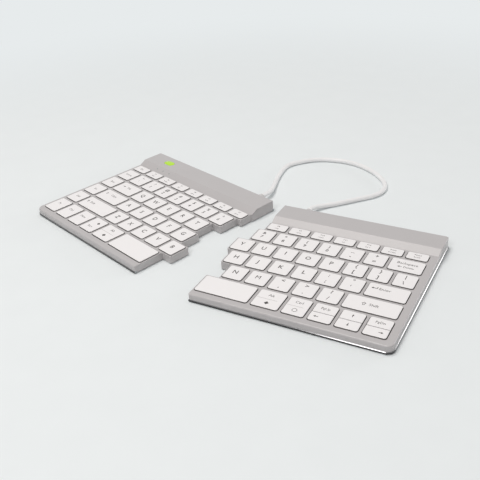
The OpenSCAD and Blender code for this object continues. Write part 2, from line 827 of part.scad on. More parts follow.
// Tapered sleeve outside the case, neck in the wall, flange inside it
module cord_relief(side) {
    translate([relief_axis(side), y_rear, relief_h]) rotate([-90, 0, 0]) {
        translate([0, 0, -wall]) cylinder(d = relief_d, h = wall);
        cylinder(d1 = relief_d, d2 = relief_tip_d, h = relief_l);
        translate([0, 0, -wall - relief_flange_t]) cylinder(d = relief_flange_d, h = relief_flange_t);
    }
}

module left_cord_relief() {
    color("#a9a6a5") on_half(left) cord_relief(left);
}

module right_cord_relief() {
    color("#a9a6a5") on_half(right) cord_relief(right);
}

// One tube along the route
module link_cord() {
    n = cord_sides;
    last = len(route) - 1;
    color(white) polyhedron(
        points = [for (i = [0:last]) each ring(i)],
        faces = concat(
            [[for (k = [n - 1:-1:0]) k]],
            [for (i = [0:last - 1], k = [0:n - 1])
                [i * n + k, i * n + (k + 1) % n, (i + 1) * n + (k + 1) % n, (i + 1) * n + k]],
            [[for (k = [0:n - 1]) last * n + k]]
        )
    );
}

left_top_case();
right_top_case();
left_indicator_window();
left_status_lights();
left_base_tray();
right_base_tray();
left_screws();
right_screws();
left_feet();
right_feet();
left_membrane();
right_membrane();
left_support_plate();
right_support_plate();
left_domes();
right_domes();
left_scissor_links();
right_scissor_links();
left_function_keys();
left_edge_keys();
left_number_keys();
tab_key();
left_upper_letter_keys();
caps_lock_key();
left_home_letter_keys();
left_shift_key();
left_lower_letter_keys();
left_modifier_keys();
left_alt_key();
left_space_key();
right_function_keys();
right_number_keys();
backspace_key();
right_upper_letter_keys();
right_home_letter_keys();
enter_key();
right_lower_letter_keys();
right_shift_key();
right_space_key();
right_alt_key();
right_control_key();
page_up_key();
left_arrow_key();
up_arrow_key();
down_arrow_key();
page_down_key();
right_arrow_key();
left_circuit_board();
right_circuit_board();
battery();
charge_socket();
power_switch();
power_switch_knob();
left_cord_relief();
right_cord_relief();
link_cord();
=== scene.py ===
import json
import math

import bmesh
import bpy
from mathutils import Matrix, Vector


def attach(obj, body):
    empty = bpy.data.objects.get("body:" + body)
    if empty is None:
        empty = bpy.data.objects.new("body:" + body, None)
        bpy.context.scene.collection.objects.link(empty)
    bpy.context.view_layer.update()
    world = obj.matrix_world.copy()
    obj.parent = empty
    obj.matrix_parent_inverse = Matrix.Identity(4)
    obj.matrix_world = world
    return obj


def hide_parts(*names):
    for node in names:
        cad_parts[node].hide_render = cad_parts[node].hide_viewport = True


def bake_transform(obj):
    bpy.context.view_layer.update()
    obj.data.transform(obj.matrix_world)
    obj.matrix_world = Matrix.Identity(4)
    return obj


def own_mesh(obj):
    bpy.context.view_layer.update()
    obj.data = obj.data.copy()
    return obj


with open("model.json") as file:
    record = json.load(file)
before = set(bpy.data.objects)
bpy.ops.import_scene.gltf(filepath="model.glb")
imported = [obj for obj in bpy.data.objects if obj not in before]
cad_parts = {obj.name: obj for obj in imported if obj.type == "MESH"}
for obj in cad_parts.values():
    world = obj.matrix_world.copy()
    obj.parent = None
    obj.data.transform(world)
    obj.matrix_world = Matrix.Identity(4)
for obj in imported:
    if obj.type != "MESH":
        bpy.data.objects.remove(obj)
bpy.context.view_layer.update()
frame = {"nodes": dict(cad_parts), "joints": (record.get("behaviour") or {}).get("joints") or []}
scene = bpy.context.scene
mm = 0.001
print("frame loaded:", len(frame["nodes"]), "nodes")

# Camera at the photo's angle, worked out for a 480 x 480 picture
cameraSet = {
    "place": (333.68, -390.45, 308.05),
    "turn": (59.866, 3.035, 36.243),
    "lens": 54.184,
    "sensor": 36,
    "shift": (-0.0354, -0.0271),
    "near": 10,
}
cameraData = bpy.data.cameras.new("photoCamera")
cameraData.lens = cameraSet["lens"]
cameraData.sensor_width = cameraSet["sensor"]
cameraData.shift_x, cameraData.shift_y = cameraSet["shift"]
cameraData.clip_start = cameraSet["near"] * mm
camera = bpy.data.objects.new("photoCamera", cameraData)
camera.location = Vector(cameraSet["place"]) * mm
camera.rotation_euler = [math.radians(a) for a in cameraSet["turn"]]
scene.collection.objects.link(camera)
scene.camera = camera


# Shared helpers
def hexColour(code):
    parts = [int(code[i:i + 2], 16) / 255 for i in (1, 3, 5)]
    return tuple(c / 12.92 if c <= 0.04045 else ((c + 0.055) / 1.055) ** 2.4 for c in parts) + (1,)


def addNode(tree, kind, settings=None, inputs=None):
    node = tree.nodes.new(kind)
    for name, value in (settings or {}).items():
        setattr(node, name, value)
    for name, value in (inputs or {}).items():
        if isinstance(value, bpy.types.NodeSocket):
            tree.links.new(value, node.inputs[name])
        else:
            node.inputs[name].default_value = value
    return node


def startMaterial(name):
    material = bpy.data.materials.new(name)
    material.use_nodes = True
    tree = material.node_tree
    place = addNode(tree, "ShaderNodeTexCoord").outputs["Object"]
    return material, tree, tree.nodes["Principled BSDF"], place


def smoothMesh(mesh, angle):
    mesh.polygons.foreach_set("use_smooth", [True] * len(mesh.polygons))
    mesh.set_sharp_from_angle(angle=math.radians(angle))


def meshFrom(curve):
    shape = bpy.data.objects.new(curve.name, curve)
    scene.collection.objects.link(shape)
    bpy.context.view_layer.update()
    graph = bpy.context.evaluated_depsgraph_get()
    mesh = bpy.data.meshes.new_from_object(shape.evaluated_get(graph))
    bpy.data.objects.remove(shape)
    return mesh


def finishPiece(bm, name, material, body, replaced=(), smooth=35):
    mesh = bpy.data.meshes.new(name)
    bm.to_mesh(mesh)
    bm.free()
    smoothMesh(mesh, smooth)
    piece = bpy.data.objects.new(name, mesh)
    scene.collection.objects.link(piece)
    for m in material if isinstance(material, (list, tuple)) else [material]:
        mesh.materials.append(m)
    if body:
        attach(piece, body)
    if replaced:
        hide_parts(*replaced)
    return piece


# The halves' own layout, as if pushed together, in mm: x from the number row's first digit
# column, y from the number row's centre line; the splay joint's place is the turning point
layout = {
    "pitch": 19.0,
    "splay": 18.5,
    "pole": (143.55, 90.0),
    "capGap": 3.0,
    "rowEdges": (22.0, 9.5, -9.5, -28.5, -47.5, -66.5, -89.0),
    "halfKeyGap": 0.5,
    "caseFront": -93.5,
    "caseRear": 48.5,
    # Key widths by row, in key pitches
    "left": [[1.03125] * 8, [1] * 8, [1, 1.5] + [1] * 5, [1, 1.75] + [1] * 5, [1, 2.25] + [1] * 5,
             [1, 1, 1, 1, 1.25, 2.45]],
    "right": [[1.03125] * 7, [1] * 6 + [1.5], [1] * 8, [1] * 6 + [1.75], [1] * 5 + [2.25],
              [2.425, 1.25] + [1.03125] * 4],
}
splayPoint = Vector(next(j for j in frame["joints"] if j["name"] == "splay")["pos_m"])


def halfMatrix(side):
    turn = math.radians(layout["splay"] / 2) * (-1 if side == "left" else 1)
    pole = Matrix.Translation(-Vector((*layout["pole"], 0)) * mm)
    return Matrix.Translation(splayPoint) @ Matrix.Rotation(turn, 4, "Z") @ pole


def keyBox(side, row, cell, half=0):
    widths, start = layout[side][row], -1
    if side == "right":
        start += sum(layout["left"][row])
    x = layout["pitch"] * (start + sum(widths[:cell]) + widths[cell] / 2)
    rear, front = layout["rowEdges"][row:row + 2]
    wide = layout["pitch"] * widths[cell] - layout["capGap"]
    deep = rear - front - layout["capGap"]
    y = (rear + front) / 2
    if half:
        deep = (deep - layout["halfKeyGap"]) / 2
        y += half * (deep + layout["halfKeyGap"]) / 2
    return x, y, wide, deep


# Materials

# Moulded plastics, mostly ABS from a spark-eroded mould: a fine even grain that breaks the gloss.
# The grain is drawn coarser than the real grit, so that it shows
plasticSet = {"cloud": 30.0, "spread": 0.05, "bump": 0.25, "ior": 1.5}


def mouldedPlastic(name, colour, roughness, grain=0.35, depth=0.02, mottle=0.03):
    s = plasticSet
    material, tree, shader, place = startMaterial(name)
    fine = addNode(tree, "ShaderNodeTexNoise", None,
                   {"Vector": place, "Scale": 1 / (grain * mm), "Detail": 3.0, "Roughness": 0.6})
    cloud = addNode(tree, "ShaderNodeTexNoise", None,
                    {"Vector": place, "Scale": 1 / (s["cloud"] * mm), "Detail": 2.0})
    base = hexColour(colour)[:3]
    dark = tuple(c * (1 - mottle) for c in base) + (1,)
    light = tuple(min(1, c * (1 + mottle)) for c in base) + (1,)
    tint = addNode(tree, "ShaderNodeMix", {"data_type": "RGBA"},
                   {"Factor": cloud.outputs["Fac"], "A": dark, "B": light})
    tree.links.new(tint.outputs[2], shader.inputs["Base Color"])
    gloss = addNode(tree, "ShaderNodeMapRange", None,
                    {"Value": fine.outputs["Fac"], "To Min": roughness - s["spread"],
                     "To Max": roughness + s["spread"]})
    tree.links.new(gloss.outputs["Result"], shader.inputs["Roughness"])
    bump = addNode(tree, "ShaderNodeBump", None,
                   {"Height": fine.outputs["Fac"], "Strength": s["bump"], "Distance": depth * mm})
    tree.links.new(bump.outputs["Normal"], shader.inputs["Normal"])
    shader.inputs["IOR"].default_value = s["ior"]
    return material


# Polished, plated or drawn sheet metal: a clear reflection with faint polishing haze along one way
metalSet = {"stretch": 0.06, "leastRough": 0.02}


def sheetMetal(name, colour, roughness, line=0.4, haze=0.08):
    s = metalSet
    material, tree, shader, place = startMaterial(name)
    along = addNode(tree, "ShaderNodeMapping", None, {"Vector": place, "Scale": (s["stretch"], 1, 1)})
    streak = addNode(tree, "ShaderNodeTexNoise", None,
                     {"Vector": along.outputs["Vector"], "Scale": 1 / (line * mm), "Detail": 2.0})
    gloss = addNode(tree, "ShaderNodeMapRange", None,
                    {"Value": streak.outputs["Fac"], "To Min": max(s["leastRough"], roughness - haze),
                     "To Max": roughness + haze})
    tree.links.new(gloss.outputs["Result"], shader.inputs["Roughness"])
    shader.inputs["Base Color"].default_value = hexColour(colour)
    shader.inputs["Metallic"].default_value = 1.0
    return material


# Soft rubber and PVC: dull, with a slight bloom in cloudy patches
rubberSet = {"spread": 0.08, "shade": 0.95, "bump": 0.15, "depth": 0.02}


def softRubber(name, colour, roughness, patch=3.0):
    s = rubberSet
    material, tree, shader, place = startMaterial(name)
    cloud = addNode(tree, "ShaderNodeTexNoise", None,
                    {"Vector": place, "Scale": 1 / (patch * mm), "Detail": 3.0})
    gloss = addNode(tree, "ShaderNodeMapRange", None,
                    {"Value": cloud.outputs["Fac"], "To Min": roughness - s["spread"],
                     "To Max": roughness + s["spread"]})
    tree.links.new(gloss.outputs["Result"], shader.inputs["Roughness"])
    base = hexColour(colour)
    dark = tuple(c * s["shade"] for c in base[:3]) + (1,)
    tint = addNode(tree, "ShaderNodeMix", {"data_type": "RGBA"},
                   {"Factor": cloud.outputs["Fac"], "A": dark, "B": base})
    tree.links.new(tint.outputs[2], shader.inputs["Base Color"])
    bump = addNode(tree, "ShaderNodeBump", None,
                   {"Height": cloud.outputs["Fac"], "Strength": s["bump"],
                    "Distance": s["depth"] * mm})
    tree.links.new(bump.outputs["Normal"], shader.inputs["Normal"])
    return material


# Glass-fibre board under green solder mask, with copper runs that show through as paler lines
boardSet = {"cell": 9.6, "run": 0.03, "shade": "#2a6340", "copper": "#4f8f63", "roughness": 0.3}


def circuitLaminate(name, colour):
    s = boardSet
    material, tree, shader, place = startMaterial(name)
    runs = addNode(tree, "ShaderNodeTexBrick", {"offset": 0.5},
                   {"Vector": place, "Scale": 1 / (s["cell"] * mm), "Mortar Size": s["run"],
                    "Color1": hexColour(colour), "Color2": hexColour(s["shade"]),
                    "Mortar": hexColour(s["copper"])})
    tree.links.new(runs.outputs["Color"], shader.inputs["Base Color"])
    shader.inputs["Roughness"].default_value = s["roughness"]
    return material


finishes = {
    "case": mouldedPlastic("mouldedAbsGrey", "#bab6b6", 0.3, depth=0.006),
    "cap": mouldedPlastic("mouldedAbsWhite", "#efecec", 0.4, grain=0.3, depth=0.012, mottle=0.008),
    # Painted shade: a darker grey on the caps' side walls that stands for the shadow in the gaps
    # around the caps
    "skirt": mouldedPlastic("capSidesPaintedShade", "#7d7978", 0.5, grain=0.3, depth=0.012),
    "window": mouldedPlastic("acrylicLime", "#b5e31f", 0.2, grain=0.5, depth=0.004, mottle=0.05),
    "light": mouldedPlastic("acrylicGrey", "#a7aaa8", 0.25, grain=0.5, depth=0.004),
    "link": mouldedPlastic("acetalWhite", "#f2f0ec", 0.35),
    "switch": mouldedPlastic("nylonBlack", "#2a2a2c", 0.5),
    "knob": mouldedPlastic("nylonGrey", "#d3d0ce", 0.45),
    "film": mouldedPlastic("polyesterFilm", "#d8dccf", 0.2, grain=1.0, depth=0.004),
    "ink": mouldedPlastic("padPrintGrey", "#4a4644", 0.6, grain=0.2, depth=0.004),
    "fineInk": mouldedPlastic("padPrintPale", "#b7b3b2", 0.6, grain=0.2, depth=0.004),
    "polish": sheetMetal("polishedNickel", "#797778", 0.14),
    "nickel": sheetMetal("blackNickel", "#403e3f", 0.12, haze=0.04),
    "plate": sheetMetal("rolledSteel", "#a5a8aa", 0.38),
    "screw": sheetMetal("platedSteel", "#9fa2a5", 0.3),
    "socket": sheetMetal("drawnSteel", "#c4c5c6", 0.25),
    "foil": sheetMetal("cellFoil", "#b9bcc0", 0.4),
    "foot": softRubber("siliconeBlack", "#29292b", 0.75),
    "dome": softRubber("siliconeMilk", "#e2ded6", 0.6),
    "relief": softRubber("pvcPaleGrey", "#d3d1d0", 0.55),
    "cord": softRubber("pvcWhite", "#efeeee", 0.42, patch=6.0),
    "board": circuitLaminate("boardLaminate", "#2f6b45"),
}
print("materials ready:", len(finishes))

# Link cord: the same route as the CAD tube, rounded into one smooth line
cordSet = {
    "diameter": 4.2,
    "exitHeight": 5.6,
    "lie": 2.2,
    "lead": 4.0,
    "reliefInset": 20.0,
    "barSplit": 138.75,
    "reliefTip": 54.5,
    "steps": 6,
    "sides": 6,
    "smooth": 50,
    # On the desk: x, y, share of the way up to the reliefs
    "bends": [(-16, 79, 0.82), (-18.6, 86.5, 0.48), (-22.2, 94, 0.16), (-25.8, 102, 0),
              (-29.2, 110, 0), (-32.2, 118.5, 0), (-34.8, 127, 0), (-36.2, 136, 0),
              (-34.4, 144.5, 0), (-29.5, 152.5, 0), (-23.5, 160, 0), (-16, 166, 0),
              (-7.5, 170.2, 0), (1.5, 173, 0), (10.5, 174.4, 0), (19.5, 174.2, 0),
              (28.5, 172.4, 0), (37, 169.5, 0), (45.5, 165.4, 0), (53, 160.4, 0),
              (59.8, 154.5, 0), (65, 147.5, 0), (68, 139.5, 0), (68, 131, 0), (65, 123.2, 0),
              (60, 116, 0), (54.8, 108.8, 0), (49.6, 101.4, 0), (44.2, 93.8, 0),
              (39.5, 87.5, 0.08), (36, 81.8, 0.3), (34.2, 75.8, 0.7)],
    # Strain relief along its axis from the flange to the tip: radius, distance from the rear face
    "relief": [(0.6, -2.8), (3.05, -2.8), (3.2, -2.65), (3.2, -1.95), (3.05, -1.8), (2.9, -1.8),
               (2.9, 1.0), (2.5, 1.15), (2.5, 1.75), (2.76, 1.9), (2.7, 2.7), (2.35, 2.85),
               (2.35, 3.45), (2.63, 3.6), (2.58, 4.4), (2.3, 4.5), (2.3, 5.0), (2.52, 5.1),
               (2.5, 5.6), (2.35, 5.9), (2.1, 6.0)],
    "reliefSides": 32,
    "reliefSmooth": 40,
}


def cordRoute():
    s = cordSet
    drop = s["exitHeight"] - s["lie"]
    ends = {}
    for side, way in (("left", -1), ("right", 1)):
        x = s["barSplit"] + way * s["reliefInset"]
        ends[side] = [halfMatrix(side) @ (Vector((x, s["reliefTip"] + y, s["exitHeight"])) * mm)
                      for y in (0, s["lead"])]
    bends = [Vector((x, y, s["lie"] + share * drop)) * mm for x, y, share in s["bends"]]
    return ends["left"] + bends + ends["right"][::-1]


def smoothLine(points, steps):
    line = []
    for i in range(len(points) - 1):
        a, b = points[i], points[i + 1]
        before = points[i - 1] if i else a * 2 - b
        after = points[i + 2] if i + 2 < len(points) else b * 2 - a
        for k in range(steps):
            t = k / steps
            line.append(0.5 * (2 * a + (b - before) * t
                               + (2 * before - 5 * a + 4 * b - after) * t * t
                               + (3 * a - before - 3 * b + after) * t ** 3))
    return line + [points[-1]]


def addTurned(bm, outline, place, steps):
    line = [bm.verts.new(place @ (Vector((r, 0, z)) * mm)) for r, z in outline]
    edges = [bm.edges.new(pair) for pair in zip(line, line[1:])]
    axis = place.to_3x3() @ Vector((0, 0, 1))
    bmesh.ops.spin(bm, geom=line + edges, cent=place.translation, axis=axis, angle=math.tau,
                   steps=steps, use_merge=True)
    bmesh.ops.holes_fill(bm, edges=[e for e in bm.edges if e.is_boundary], sides=0)


def makeRelief(side):
    s = cordSet
    x = s["barSplit"] + s["reliefInset"] * (-1 if side == "left" else 1)
    bm = bmesh.new()
    spot = Matrix.Translation(Vector((x, layout["caseRear"], s["exitHeight"])) * mm)
    rearward = Matrix.Rotation(math.radians(-90), 4, "X")
    addTurned(bm, s["relief"], spot @ rearward, s["reliefSides"])
    bmesh.ops.recalc_face_normals(bm, faces=bm.faces)
    bmesh.ops.transform(bm, matrix=halfMatrix(side), verts=bm.verts)
    node = side + "_cord_relief"
    return finishPiece(bm, node + "_sleeve", finishes["relief"], side + "_half", [node],
                       s["reliefSmooth"])


def makeCord():
    reliefs = [makeRelief("left"), makeRelief("right")]
    line = smoothLine(cordRoute(), cordSet["steps"])
    curve = bpy.data.curves.new("linkCordLine", "CURVE")
    curve.dimensions = "3D"
    curve.bevel_depth = cordSet["diameter"] / 2 * mm
    curve.bevel_resolution = cordSet["sides"]
    curve.use_fill_caps = True
    spline = curve.splines.new("POLY")
    spline.points.add(len(line) - 1)
    for point, place in zip(spline.points, line):
        point.co = (*place, 1)
    mesh = meshFrom(curve)
    mesh.name = "linkCord"
    mesh.materials.clear()
    mesh.materials.append(finishes["cord"])
    smoothMesh(mesh, cordSet["smooth"])
    cord = bpy.data.objects.new("linkCord", mesh)
    scene.collection.objects.link(cord)
    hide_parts("link_cord")
    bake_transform(cord)


makeCord()

# Key caps: flat tops, rounded corners, an eased top edge and a hollow underside
capSet = {
    "top": 7.7,
    "height": 3.0,
    "corner": 1.6,
    "cornerSteps": 6,
    "edge": 0.45,
    "edgeSteps": 3,
    "wall": 1.0,
    "hollow": 1.8,
    "post": 3.2,
    "postFoot": 5.1,
    "postSides": 12,
    "upright": 0.35,  # steeper faces, the caps' sides, get the painted shade
}
# Node, side, row, first cell, last cell, half
keyGroups = [
    ("left_function_keys", "left", 0, 0, 7, 0), ("left_number_keys", "left", 1, 1, 7, 0),
    ("tab_key", "left", 2, 1, 1, 0), ("left_upper_letter_keys", "left", 2, 2, 6, 0),
    ("caps_lock_key", "left", 3, 1, 1, 0), ("left_home_letter_keys", "left", 3, 2, 6, 0),
    ("left_shift_key", "left", 4, 1, 1, 0), ("left_lower_letter_keys", "left", 4, 2, 6, 0),
    ("left_modifier_keys", "left", 5, 0, 3, 0), ("left_alt_key", "left", 5, 4, 4, 0),
    ("left_space_key", "left", 5, 5, 5, 0), ("right_function_keys", "right", 0, 0, 6, 0),
    ("right_number_keys", "right", 1, 0, 5, 0), ("backspace_key", "right", 1, 6, 6, 0),
    ("right_upper_letter_keys", "right", 2, 0, 7, 0),
    ("right_home_letter_keys", "right", 3, 0, 5, 0),
    ("enter_key", "right", 3, 6, 6, 0), ("right_lower_letter_keys", "right", 4, 0, 4, 0),
    ("right_shift_key", "right", 4, 5, 5, 0), ("right_space_key", "right", 5, 0, 0, 0),
    ("right_alt_key", "right", 5, 1, 1, 0), ("right_control_key", "right", 5, 2, 2, 0),
    ("page_up_key", "right", 5, 3, 3, 1), ("left_arrow_key", "right", 5, 3, 3, -1),
    ("up_arrow_key", "right", 5, 4, 4, 1), ("down_arrow_key", "right", 5, 4, 4, -1),
    ("page_down_key", "right", 5, 5, 5, 1), ("right_arrow_key", "right", 5, 5, 5, -1),
]


def groupKeys(node):
    if node == "left_edge_keys":
        return "left", [("left", row, 0, 0) for row in range(1, 5)]
    for name, side, row, first, last, half in keyGroups:
        if name == node:
            return side, [(side, row, cell, half) for cell in range(first, last + 1)]


# Two half-height caps share one rounded outline, so they are square where they meet
def addCap(bm, x, y, wide, deep, half):
    s = capSet
    foot = (s["top"] - s["height"]) * mm
    spots = [(-1, -1), (1, -1), (1, 1), (-1, 1)]
    corners = [bm.verts.new(((x + a * wide / 2) * mm, (y + b * deep / 2) * mm, foot))
               for a, b in spots]
    bm.faces.new(corners)
    rounded = [v for v, (a, b) in zip(corners, spots) if half in (0, b)]
    made = bmesh.ops.bevel(bm, geom=rounded, offset=s["corner"] * mm, segments=s["cornerSteps"],
                           profile=0.5, affect="VERTICES", material=-1)
    bottom = made["verts"][0].link_faces[0]
    bottom.normal_flip()
    raised = bmesh.ops.extrude_face_region(bm, geom=[bottom], use_keep_orig=True)["geom"]
    top = next(g for g in raised if isinstance(g, bmesh.types.BMFace))
    bmesh.ops.translate(bm, verts=list(top.verts), vec=(0, 0, s["height"] * mm))
    bmesh.ops.recalc_face_normals(bm, faces=[f for f in bm.faces if f.is_valid and (
        f is bottom or f is top or any(e in top.edges for e in f.edges))])
    bmesh.ops.bevel(bm, geom=list(top.edges), offset=s["edge"] * mm, segments=s["edgeSteps"],
                    profile=0.5, affect="EDGES", material=-1)
    bmesh.ops.inset_region(bm, faces=[bottom], thickness=s["wall"] * mm, use_even_offset=True)
    hollow = bmesh.ops.extrude_face_region(bm, geom=[bottom])["geom"]
    ceiling = next(g for g in hollow if isinstance(g, bmesh.types.BMFace))
    bmesh.ops.delete(bm, geom=[bottom], context="FACES_ONLY")
    bmesh.ops.translate(bm, verts=list(ceiling.verts), vec=(0, 0, s["hollow"] * mm))
    length = s["top"] - s["height"] + s["hollow"] - s["postFoot"]
    middle = Matrix.Translation(Vector((x, y, s["postFoot"] + length / 2)) * mm)
    bmesh.ops.create_cone(bm, cap_ends=True, segments=s["postSides"], radius1=s["post"] / 2 * mm,
                          radius2=s["post"] / 2 * mm, depth=length * mm, matrix=middle)


def makeCaps(node):
    side, keys = groupKeys(node)
    bm = bmesh.new()
    for key in keys:
        addCap(bm, *keyBox(*key), key[3])
    bm.normal_update()
    # The caps' steep side faces get the second material, a painted shade for the shadowed gaps
    for face in bm.faces:
        face.material_index = abs(face.normal.z) < capSet["upright"]
    bmesh.ops.transform(bm, matrix=halfMatrix(side), verts=bm.verts)
    piece = finishPiece(bm, node + "_caps", [finishes["cap"], finishes["skirt"]], node, [node])
    piece.modifiers.new("evenShade", "WEIGHTED_NORMAL").keep_sharp = True


keyNodes = [g[0] for g in keyGroups] + ["left_edge_keys"]
for node in keyNodes:
    makeCaps(node)
print("caps made:", sum(len(groupKeys(n)[1]) for n in keyNodes))


# Legends: plain block letters, digits, signs and short words, printed on the cap tops
legendSet = {
    "proud": 0.02,
    "bold": 0.07,
    "letter": (6.0, -0.6, 0.8),
    "digit": (4.8, -1.0, 3.4, -2.3),
    "sign": (5.4, -0.5, 4.2, -3.4),
    "word": 3.4,
    "rule": 0.3,
    "outline": 0.36,
    "ring": (1.3, 20),
    "curveSteps": 2,
    "merge": 1e-4,
    "smooth": 30,
}


def twoLines(upper, lower):
    return [(upper, 0, 1.6, 2.5), (lower, 0, -1.7, 2.2)]


# One entry per key: a letter, a pair of signs, a word, or parts as (what, x, y, size) from the
# cap's centre
legends = {
    "left_function_keys": ["Esc", twoLines("F1", "dim"), twoLines("F2", "bright"),
                           twoLines("F3", "find"), twoLines("F4", "open"), twoLines("F5", "save"),
                           twoLines("F6", "light"), twoLines("F7", "prev")],
    "left_edge_keys": ["Home", "End", "Ins", "Del"],
    "left_number_keys": ["~ `", "! 1", "@ 2", "# 3", "$ 4", "% 5", "^ 6"],
    "tab_key": [[("rightMark", -6.5, 1.6, 1.2), ("Tab", 0.5, 1.6, 3.6)]],
    "left_upper_letter_keys": list("QWERT"),
    "caps_lock_key": [[("lockMark", -10, 2.2, 1), ("Caps", 0.2, 2.2, 3.6)]],
    "left_home_letter_keys": list("ASDFG"),
    "left_shift_key": [[("shiftMark", -15.5, 1, 1), ("Shift", -9, 1, 3.6)]],
    "left_lower_letter_keys": list("ZXCVB"),
    "left_modifier_keys": [[("Fn", -1, 2, 3.6)], [("Ctrl", -1, 2, 3.6)], [("Menu", -1, 2, 3.2)],
                           [("diamondMark", 2, 3.4, 1.3), ("Start", -1, -3.4, 3)]],
    "left_alt_key": [[("Alt", 0, 4.6, 3.8), ("rule", -1.6, 0, 16), ("diamondMark", 0, -4.4, 1.5)]],
    "right_function_keys": [twoLines("F8", "play"), twoLines("F9", "next"), twoLines("F10", "mute"),
                            twoLines("F11", "vol -"), twoLines("F12", "vol +"),
                            twoLines("Print", "screen"), twoLines("Pause", "break")],
    "right_number_keys": ["& 7", "* 8", "( 9", ") 0", "_ -", "+ ="],
    "backspace_key": [[("Backspace", 0, 2.5, 3.9), ("leftMark", -4.6, -2.5, 1.2),
                       ("Delete", 2.2, -2.5, 3)]],
    "right_upper_letter_keys": list("YUIOP") + ["{ [", "} ]", "| \\"],
    "right_home_letter_keys": list("HJKL") + [": ;", "\" '"],
    "enter_key": [[("enterMark", -10, 2, 1.3), ("Enter", -2.4, 2, 4)]],
    "right_lower_letter_keys": list("NM") + ["< ,", "> .", "? /"],
    "right_shift_key": [[("shiftMark", -6, 0.4, 1.2), ("Shift", 1.2, 0.4, 4)]],
    "right_alt_key": [[("Alt", 0, 4.6, 3.8), ("rule", -1.6, 0, 16), ("diamondMark", 0, -4.4, 1.5)]],
    "right_control_key": [[("Ctrl", 0, 4.6, 3.8), ("rule", -1.4, 0, 12.4),
                           ("ringMark", 0, -4.4, 1.5)]],
    "page_up_key": [[("PgUp", 0, 0, 3.3)]],
    "left_arrow_key": [[("leftMark", -3.4, 0, 1.2)]],
    "up_arrow_key": [[("upMark", 0, 0, 1.1)]],
    "down_arrow_key": [[("downMark", 0, 0, 1.1)]],
    "page_down_key": [[("PgDn", 0, 0, 3.3)]],
    "right_arrow_key": [[("rightMark", 3.4, 0, 1.2)]],
}


def addWriting(bm, text, x, y, size):
    writing = bpy.data.curves.new("legend", "FONT")
    writing.body = text
    writing.size = size * mm
    writing.align_x, writing.align_y = "CENTER", "CENTER"
    writing.resolution_u = legendSet["curveSteps"]
    # Words are printed thinner, and this font's capital M folds over itself when thickened
    writing.offset = 0 if len(text) > 1 or text == "M" else legendSet["bold"] * mm
    writing.extrude = legendSet["proud"] * mm
    mesh = meshFrom(writing)
    mesh.transform(Matrix.Translation(Vector((x, y, capSet["top"])) * mm))
    bm.from_mesh(mesh)
    bpy.data.meshes.remove(mesh)


def addPlate(bm, corners, x, y, outline=0, tone=0):
    foot = capSet["top"] - legendSet["proud"]
    faces = [bm.faces.new([bm.verts.new(Vector((x + a, y + b, foot)) * mm) for a, b in corners])]
    if outline:
        faces[0].normal_update()
        ring = bmesh.ops.inset_region(bm, faces=faces, thickness=outline * mm, use_even_offset=True,
                                      use_boundary=True)["faces"]
        bmesh.ops.delete(bm, geom=faces, context="FACES_ONLY")
        faces = ring
    raised = bmesh.ops.extrude_face_region(bm, geom=faces, use_keep_orig=True)["geom"]
    verts = [g for g in raised if isinstance(g, bmesh.types.BMVert)]
    bmesh.ops.translate(bm, verts=verts, vec=(0, 0, 2 * legendSet["proud"] * mm))
    for face in {f for v in verts for f in v.link_faces}:
        face.material_index = tone


def addMark(bm, name, x, y, size):
    quarter = {"leftMark": 1, "enterMark": 1, "downMark": 2, "rightMark": 3}.get(name, 0)
    hollow = legendSet["outline"] if name in ("shiftMark", "lockMark", "ringMark") else 0
    radius, sides = legendSet["ring"]
    turns = [k * math.tau / sides for k in range(sides)]
    shapes = {
        "diamondMark": [[(0, -1.2), (1.2, 0), (0, 1.2), (-1.2, 0)]],
        "ringMark": [[(radius * math.cos(t), radius * math.sin(t)) for t in turns]],
        "shiftMark": [[(-0.65, -1.4), (0.65, -1.4), (0.65, 0.1), (1.5, 0.1), (0, 1.7), (-1.5, 0.1),
                       (-0.65, 0.1)]],
        "lockMark": [[(-0.9, -1.1), (0.9, -1.1), (0.9, 1.1), (-0.9, 1.1)]],
        "enterMark": [[(-0.75, 0.6), (0.75, 0.6), (0, 1.9)],
                      [(-0.2, -1.7), (1.4, -1.7), (1.4, -1.3), (0.2, -1.3), (0.2, 0.6),
                       (-0.2, 0.6)]],
    }
    arrow = [[(-0.8, 0.2), (0.8, 0.2), (0, 1.5)],
             [(-0.22, -1.4), (0.22, -1.4), (0.22, 0.2), (-0.22, 0.2)]]
    for outline in shapes.get(name, arrow):
        for k in range(quarter):
            outline = [(-b, a) for a, b in outline]
        addPlate(bm, [(a * size, b * size) for a, b in outline], x, y, hollow)


def addLegend(bm, legend, x, y):
    s = legendSet
    if isinstance(legend, list):
        for what, dx, dy, size in legend:
            if what == "rule":
                end, thick = size / 2, s["rule"] / 2
                corners = [(-end, -thick), (end, -thick), (end, thick), (-end, thick)]
                addPlate(bm, corners, x + dx, y + dy, tone=1)
            elif what.endswith("Mark"):
                addMark(bm, what, x + dx, y + dy, size)
            else:
                addWriting(bm, what, x + dx, y + dy, size)
    elif len(legend) == 1:
        size, dx, dy = s["letter"]
        addWriting(bm, legend, x + dx, y + dy, size)
    elif len(legend) == 3 and legend[1] == " ":
        size, dx, upper, lower = s["digit" if legend[2].isdigit() else "sign"]
        addWriting(bm, legend[0], x + dx, y + upper, size)
        addWriting(bm, legend[2], x + dx, y + lower, size)
    else:
        addWriting(bm, legend, x, y, s["word"])


def makeLegends(node):
    side, keys = groupKeys(node)
    bm = bmesh.new()
    for key, legend in zip(keys, legends[node]):
        addLegend(bm, legend, *keyBox(*key)[:2])
    bmesh.ops.remove_doubles(bm, verts=bm.verts, dist=legendSet["merge"] * mm)
    bmesh.ops.recalc_face_normals(bm, faces=bm.faces)
    bmesh.ops.transform(bm, matrix=halfMatrix(side), verts=bm.verts)
    finishPiece(bm, node + "_legends", [finishes["ink"], finishes["fineInk"]], node,
                smooth=legendSet["smooth"])


for node in legends:
    makeLegends(node)
print("legends made:", sum(len(v) for v in legends.values()))
